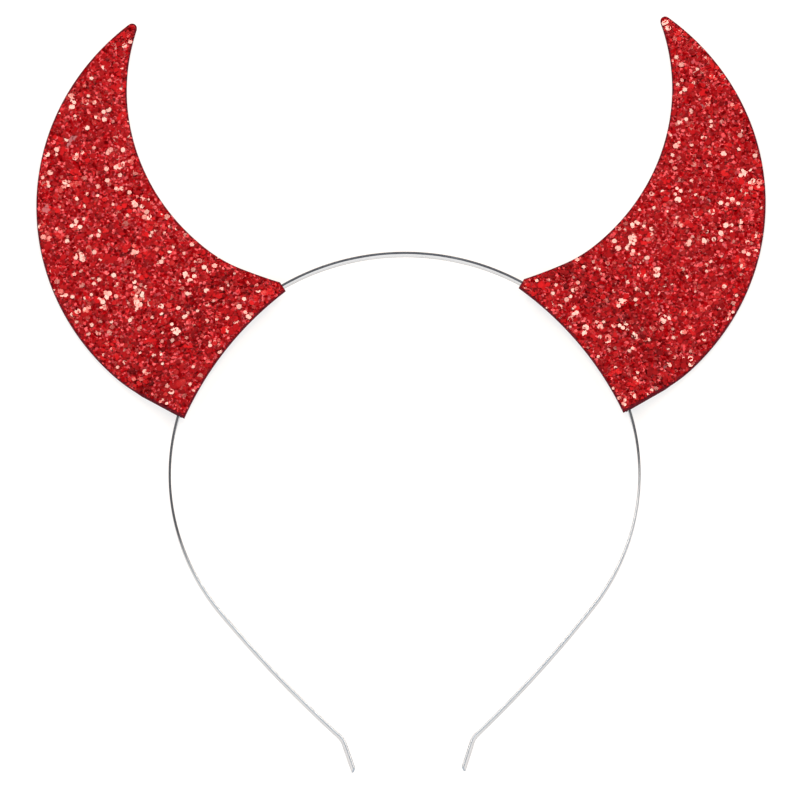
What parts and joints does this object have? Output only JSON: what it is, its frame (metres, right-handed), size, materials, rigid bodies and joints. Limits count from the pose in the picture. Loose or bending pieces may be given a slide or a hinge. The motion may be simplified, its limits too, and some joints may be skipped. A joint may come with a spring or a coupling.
{
  "type": "devil horn headband",
  "caption": "Flat red glitter devil horns glued in pairs of leaves round a thin sprung steel headband that is worn over the head.",
  "frame": {"origin": "under the middle of the whole outline, on the surface that the horns' back leaves lie on", "axes": "+X from the left horn to the right horn, +Y from the band's ends towards the horn tips, +Z out of the horns' front faces"},
  "size_m": [0.1902, 0.2078, 0.0056],
  "materials": {
    "spring_steel": "bright plated spring steel strip, cut square at its ends",
    "glitter_leatherette": "die-cut leatherette covered with coarse red glitter flakes"
  },
  "bodies": {
    "root": {"band": "spring_steel", "horn_left_back": "glitter_leatherette", "horn_left_front": "glitter_leatherette", "horn_right_back": "glitter_leatherette", "horn_right_front": "glitter_leatherette"}
  },
  "joints": []
}
